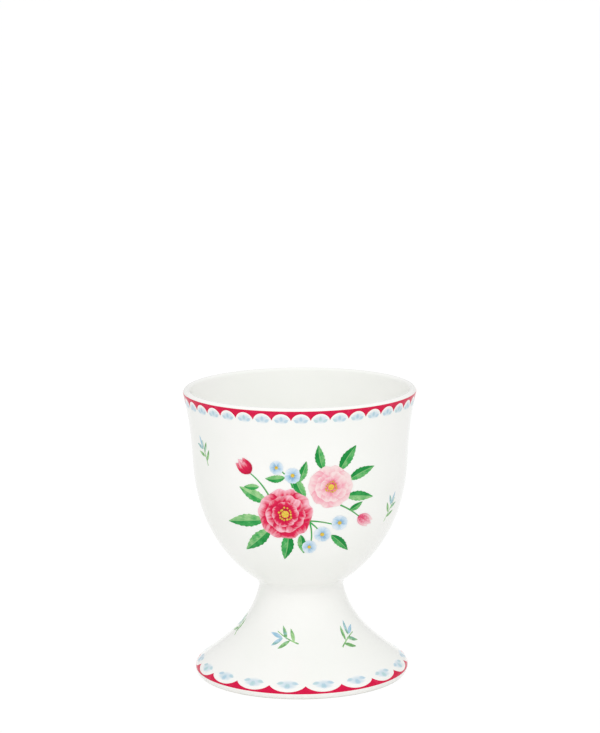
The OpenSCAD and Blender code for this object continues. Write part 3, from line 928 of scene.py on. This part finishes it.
# Cells across and along each kind of stroke, and the seeds of the random draws
STALK_CELLS = (2, 24)
LEAF_CELLS = (10, 28)
PETAL_CELLS = (10, 12)
BUD_CELLS = (8, 10)
HEART_CELLS = (8, 8)
SMALL_HEART_CELLS = (6, 6)
STAMEN_CELLS = (3, 3)
CRIMSON_SEED = 11
PINK_SEED = 5
BLUE_SEED = 3
CENTRE_SEED = 7
LEAF_SEED = 19


class Spray:
    """Places flat drawings, in metres from the middle of the spray, on the front of the bowl."""

    def __init__(self):
        cup = sizes()
        self.surface = Surface(Outline().bowl)
        self.width = cup.spray_width
        self.height = (cup.waist_height + cup.cup_height) / 2
        self.transfer = Transfer()

    def real(self, *shares):
        """Sizes and places in metres, from shares of the spray's width."""
        return [self.width * share for share in shares]

    def lay(self, cells, outline, layer, tone):
        def place(u, v):
            x, y = outline(u, v)
            return self.surface.seen(FRONT, x, self.height + y, LAYER * layer)
        self.transfer.patch(cells, place, tone)

    def blossom(self, shares, chance, rings):
        """An open blossom: rings of petals, each petal a little over the one before it."""
        x, y, radius = self.real(*shares)
        layer = BLOSSOM_LAYER
        for size, twist in rings:
            for i in range(PETALS):
                turn = 360 / PETALS * i + twist + chance.uniform(*PETAL_SWAY)
                long = radius * size * chance.uniform(*PETAL_LENGTH_SHARE)
                outline = petal_outline(long, long * PETAL_WIDTH_SHARE, chance.uniform(*PETAL_NOTCH_SHARE))
                self.lay(PETAL_CELLS, turned_by(outline, turn, x, y), layer, chance.random())
                layer += PETAL_LIFT

    def bud(self, shares, chance):
        """Petals folded over each other, seen from the side. The full one in the middle lies on top."""
        x, y, turn, long = shares
        x, y, long = self.real(x, y, long)
        for tilt, size in BUD_PETALS:
            outline = turned_by(leaf_outline(long * size, long * BUD_WIDTH_SHARE), turn + tilt, x, y)
            self.lay(BUD_CELLS, outline, BLOSSOM_LAYER + size, chance.random())

    def blossoms(self, seed, rings, open_shares, bud_shares=()):
        """Open blossoms of so many rings, then their buds."""
        chance = random.Random(seed)
        for shares in open_shares:
            self.blossom(shares, chance, rings)
        for shares in bud_shares:
            self.bud(shares, chance)


class EGGCUP_OT_crimson_blossoms(Operator):
    """Paints the open crimson blossom and the crimson bud"""
    bl_idname = "eggcup.crimson_blossoms"
    bl_label = "Crimson blossoms"

    def execute(self, context):
        spray = Spray()
        spray.blossoms(CRIMSON_SEED, FULL_RINGS, CRIMSON_SHARES, CRIMSON_BUD_SHARES)
        paint = petal_material("crimson", side_dye="crimson_deep", turning=0.64)
        spray.transfer.done("crimson_blossom_film", "crimson_blossoms", "rose_enamel", paint)
        return {"FINISHED"}


class EGGCUP_OT_pink_blossoms(Operator):
    """Paints the open pink blossom and the pink bud"""
    bl_idname = "eggcup.pink_blossoms"
    bl_label = "Pink blossoms"

    def execute(self, context):
        spray = Spray()
        spray.blossoms(PINK_SEED, FULL_RINGS, PINK_SHARES, PINK_BUD_SHARES)
        paint = petal_material("pink", side_dye="pink")
        spray.transfer.done("pink_blossom_film", "pink_blossoms", "pink_enamel", paint)
        return {"FINISHED"}


class EGGCUP_OT_blue_blossoms(Operator):
    """Paints the small blue blossoms"""
    bl_idname = "eggcup.blue_blossoms"
    bl_label = "Blue blossoms"

    def execute(self, context):
        spray = Spray()
        spray.blossoms(BLUE_SEED, ONE_RING, BLUE_SHARES)
        paint = petal_material("blue", side_dye="blue")
        spray.transfer.done("blue_blossom_film", "blue_blossoms", "sky_blue_enamel", paint)
        return {"FINISHED"}


class EGGCUP_OT_centres(Operator):
    """Paints the yellow hearts and their rings of stamens"""
    bl_idname = "eggcup.centres"
    bl_label = "Blossom centres"

    def execute(self, context):
        chance = random.Random(CENTRE_SEED)
        spray = Spray()
        for shares in CRIMSON_SHARES + PINK_SHARES:
            x, y, radius = spray.real(*shares)
            spray.lay(HEART_CELLS, turned_by(disc_outline(radius * HEART_SHARE), 0, x, y), HEART_LAYER, 0)
            for i in range(STAMENS):
                turn = math.radians(360 / STAMENS * i + chance.uniform(*STAMEN_SWAY))
                away = radius * chance.uniform(*STAMEN_AWAY_SHARE)
                dot = disc_outline(radius * chance.uniform(*STAMEN_SHARE))
                outline = turned_by(dot, 0, x + away * math.cos(turn), y + away * math.sin(turn))
                spray.lay(STAMEN_CELLS, outline, STAMEN_LAYER, chance.uniform(*STAMEN_TONE))
        for shares in BLUE_SHARES:
            x, y, radius = spray.real(*shares)
            outline = turned_by(disc_outline(radius * SMALL_HEART_SHARE), 0, x, y)
            spray.lay(SMALL_HEART_CELLS, outline, SMALL_HEART_LAYER, SMALL_HEART_TONE)
        spray.transfer.done("blossom_centre_film", "blossom_centres", "yellow_enamel", centre_material())
        return {"FINISHED"}


class EGGCUP_OT_leaves(Operator):
    """Paints the toothed leaves of the spray"""
    bl_idname = "eggcup.leaves"
    bl_label = "Spray leaves"

    def execute(self, context):
        chance = random.Random(LEAF_SEED)
        spray = Spray()
        for i, (x, y, turn, long, wide) in enumerate(LEAF_SHARES):
            x, y, long, wide = spray.real(x, y, long, wide)
            bend = chance.uniform(*LEAF_BEND_SHARE)
            outline = leaf_outline(long, wide, bend, LEAF_TEETH, LEAF_BITE_SHARE)
            layer = LEAF_LAYER + LEAF_LIFT * i
            spray.lay(LEAF_CELLS, turned_by(outline, turn, x, y), layer, chance.random())
        spray.transfer.done("spray_leaf_film", "spray_leaves", "leaf_enamel", leaf_material())
        return {"FINISHED"}


class EGGCUP_OT_stems(Operator):
    """Paints the thin stalks of the spray"""
    bl_idname = "eggcup.stems"
    bl_label = "Spray stems"

    def execute(self, context):
        spray = Spray()
        for x, y, turn, bend, sweep in STALK_SHARES:
            x, y, bend, width = spray.real(x, y, bend, STALK_WIDTH_SHARE)
            outline = stalk_outline(bend, width, math.radians(sweep))
            spray.lay(STALK_CELLS, turned_by(outline, turn, x, y), STALK_LAYER, STALK_TONE)
        spray.transfer.done("spray_stem_film", "spray_stems", "stem_enamel", stem_material())
        return {"FINISHED"}


# Sprigs: turn from the front in degrees, height as a share, tilt in degrees
BOWL_SPRIG_SHARES = ((60, 0.62, -20), (-60, 0.82, 25), (120, 0.8, -15), (180, 0.66, 10), (-122, 0.6, 30))
FOOT_SPRIG_SHARES = ((-16, 0.52, 75), (46, 0.5, -60), (118, 0.52, 70), (-164, 0.5, -65), (-88, 0.52, 60))
# A sprig's stalk: radius of its bend and width as shares of its length, sweep in degrees
SPRIG_BEND_SHARE = 3
SPRIG_WIDTH_SHARE = 0.035
SPRIG_SWEEP = 0.27
SPRIG_TONE = 0.2
# Its leaflets: length and width, then the tilt in degrees, place along the stalk and tone of each, which is
# bluer towards the tip
LEAFLET_SHARES = (0.42, 0.11)
LEAFLET_PLACE_SHARES = ((0, 0.58, 1), (48, 0.3, 0.42), (48, 0.55, 0.77), (-48, 0.15, 0.21),
                        (-48, 0.42, 0.588))
SPRIG_CELLS = (5, 12)


def sprig_strokes(long):
    """Outline and tone of the stalk and of each leaflet."""
    leaflet = leaf_outline(*(long * share for share in LEAFLET_SHARES))
    yield stalk_outline(long * SPRIG_BEND_SHARE, long * SPRIG_WIDTH_SHARE, SPRIG_SWEEP), SPRIG_TONE
    for tilt, share, tone in LEAFLET_PLACE_SHARES:
        yield turned_by(leaflet, tilt, 0, long * share), tone


def paint_sprigs(line, height, sprigs, name, node):
    """Small sprigs all round a turned surface. Their heights are shares of the one given."""
    surface = Surface(line)
    transfer = Transfer()
    long = sizes().sprig_length
    for turn, share, tilt in sprigs:
        for outline, tone in sprig_strokes(long):
            flat = turned_by(turned_by(outline, 0, 0, -long / 2), tilt, 0, 0)

            def place(u, v):
                x, y = flat(u, v)
                return surface.seen(FRONT + math.radians(turn), x, share * height + y, LAYER)
            transfer.patch(SPRIG_CELLS, place, tone)
    transfer.done(name, node, "leaf_enamel", bpy.data.materials["sprig_green"])


class EGGCUP_OT_sprigs(Operator):
    """Paints the small sprigs on bowl and foot"""
    bl_idname = "eggcup.sprigs"
    bl_label = "Sprigs"

    def execute(self, context):
        cup = sizes()
        line = Outline()
        sprig_material()
        paint_sprigs(line.bowl, cup.cup_height, BOWL_SPRIG_SHARES, "bowl_sprig_film", "bowl_sprigs")
        paint_sprigs(line.foot, cup.waist_height, FOOT_SPRIG_SHARES, "foot_sprig_film", "foot_sprigs")
        return {"FINISHED"}


# Stage. This share of the paper is plain white to the camera, and the rest of it keeps the cup's shadow
PAPER_HALF = 8.0
PAPER_FIBRE = 2 * MM
PAPER_WHITE_SHARE = 0.88
PAPER_WHITE = 1.05
# Brightness of the tent's cloth, where 1 is white, and the lamps' places, size in metres and watts
TENT_LEVEL = 0.735
KEY_PLACE = (0, -0.95, 0.7)
KEY_POWER = 3.4
TOP_PLACE = (0, 0.1, 1.2)
TOP_POWER = 1.2
LAMP_SIZE = 1.0
LAMP_AIM = (0, 0, 0.03)
CAMERA_PLACE = (0.00013, -0.5903, 0.1732)
CAMERA_PITCH = math.radians(9.95)
CAMERA_ROLL = math.radians(-0.46)
CAMERA_LENS = 132.4
CAMERA_SENSOR = 36.0
CAMERA_NEAREST = 0.01


def white_to_eye(paint):
    """1 for the camera and for what a mirror or glass would show, 0 for the light that falls on the cup."""
    path = paint.node("ShaderNodeLightPath")
    seen = path.outputs["Is Camera Ray"]
    for name in ("Is Glossy Ray", "Is Transmission Ray"):
        seen = paint.maths("MAXIMUM", seen, path.outputs[name])
    return seen


def paper_material():
    """White paper, nearly plain white to the camera, that keeps a soft shadow."""
    paint = Paint("white_paper")
    paint.tree.nodes.remove(paint.shader)
    plain = paint.node("ShaderNodeBsdfDiffuse")
    fibre = paint.noise(PAPER_FIBRE, detail=3.0)
    paint.put(paint.mix(fibre, dye("paper"), dye("paper_pale")), plain.inputs["Color"])
    bright = paint.node("ShaderNodeEmission")
    paint.put(PAPER_WHITE, bright.inputs["Strength"])
    mix = paint.node("ShaderNodeMixShader")
    paint.put(paint.times(white_to_eye(paint), PAPER_WHITE_SHARE), mix.inputs[0])
    paint.put(plain.outputs[0], mix.inputs[1])
    paint.put(bright.outputs[0], mix.inputs[2])
    paint.put(mix.outputs[0], paint.tree.nodes["Material Output"].inputs["Surface"])
    return paint.material


def lay_paper():
    bm = bmesh.new()
    bmesh.ops.create_grid(bm, x_segments=4, y_segments=4, size=PAPER_HALF)
    mesh = bpy.data.meshes.new("paper")
    bm.to_mesh(mesh)
    bm.free()
    mesh.materials.append(paper_material())
    paper = bpy.data.objects.new("paper", mesh)
    bpy.context.scene.collection.objects.link(paper)


def white_tent():
    """Tent of white cloth on all sides. The paper alone is in the picture."""
    world = bpy.data.worlds.new("white_tent")
    bpy.context.scene.world = world
    world.use_nodes = True
    cloth = world.node_tree.nodes["Background"]
    cloth.inputs["Color"].default_value = (1, 1, 1, 1)
    cloth.inputs["Strength"].default_value = TENT_LEVEL


def soft_lamp(name, place, power):
    """Round lamp outside the tent, whose cloth hides it from the glaze's reflections."""
    light = bpy.data.lights.new(name, "AREA")
    light.shape = "DISK"
    light.size = LAMP_SIZE
    light.energy = power
    lamp = bpy.data.objects.new(name, light)
    lamp.location = place
    lamp.rotation_euler = (Vector(LAMP_AIM) - Vector(place)).to_track_quat("-Z", "Y").to_euler()
    lamp.visible_glossy = False
    bpy.context.scene.collection.objects.link(lamp)


def set_camera():
    data = bpy.data.cameras.new("camera")
    data.lens = CAMERA_LENS
    data.sensor_width = CAMERA_SENSOR
    data.clip_start = CAMERA_NEAREST
    camera = bpy.data.objects.new("camera", data)
    camera.location = CAMERA_PLACE
    camera.rotation_mode = "XYZ"
    camera.rotation_euler = (math.pi / 2 - CAMERA_PITCH, 0, 0)
    camera.rotation_euler.rotate_axis("Z", CAMERA_ROLL)
    bpy.context.scene.collection.objects.link(camera)
    bpy.context.scene.camera = camera


class EGGCUP_OT_stage(Operator):
    """Sets the white paper, the tent, the soft lamps and the camera"""
    bl_idname = "eggcup.stage"
    bl_label = "Stage"

    def execute(self, context):
        lay_paper()
        white_tent()
        soft_lamp("key", KEY_PLACE, KEY_POWER)
        soft_lamp("top", TOP_PLACE, TOP_POWER)
        set_camera()
        context.scene.view_settings.view_transform = "Standard"
        return {"FINISHED"}


class EGGCUP_PT_panel(Panel):
    """Lists the steps in the order in which they are made, then the sizes and colours"""
    bl_idname = "EGGCUP_PT_panel"
    bl_label = "Egg Cup"
    bl_space_type = "VIEW_3D"
    bl_region_type = "UI"
    bl_category = "Egg Cup"

    def draw(self, context):
        for step in STEPS:
            self.layout.operator(step.bl_idname)
        for name in CupSizes.__annotations__:
            self.layout.prop(context.scene.egg_cup_sizes, name)
        for name in CupColours.__annotations__:
            self.layout.prop(context.scene.egg_cup_colours, name)


STEPS = (EGGCUP_OT_bowl, EGGCUP_OT_foot, EGGCUP_OT_bead, EGGCUP_OT_rim_band, EGGCUP_OT_foot_band,
         EGGCUP_OT_rim_lace, EGGCUP_OT_foot_lace, EGGCUP_OT_stems, EGGCUP_OT_leaves,
         EGGCUP_OT_crimson_blossoms, EGGCUP_OT_pink_blossoms, EGGCUP_OT_blue_blossoms, EGGCUP_OT_centres,
         EGGCUP_OT_sprigs, EGGCUP_OT_stage)
CLASSES = (CupSizes, CupColours, *STEPS, EGGCUP_PT_panel)


def register():
    for made in CLASSES:
        bpy.utils.register_class(made)
    bpy.types.Scene.egg_cup_sizes = PointerProperty(type=CupSizes)
    bpy.types.Scene.egg_cup_colours = PointerProperty(type=CupColours)


def unregister():
    del bpy.types.Scene.egg_cup_colours
    del bpy.types.Scene.egg_cup_sizes
    for made in reversed(CLASSES):
        bpy.utils.unregister_class(made)


def main():
    register()
    bpy.ops.eggcup.bowl()
    bpy.ops.eggcup.foot()
    bpy.ops.eggcup.bead()
    bpy.ops.eggcup.rim_band()
    bpy.ops.eggcup.foot_band()
    bpy.ops.eggcup.rim_lace()
    bpy.ops.eggcup.foot_lace()
    bpy.ops.eggcup.stems()
    bpy.ops.eggcup.leaves()
    bpy.ops.eggcup.crimson_blossoms()
    bpy.ops.eggcup.pink_blossoms()
    bpy.ops.eggcup.blue_blossoms()
    bpy.ops.eggcup.centres()
    bpy.ops.eggcup.sprigs()
    bpy.ops.eggcup.stage()


if __name__ == "__main__":
    main()
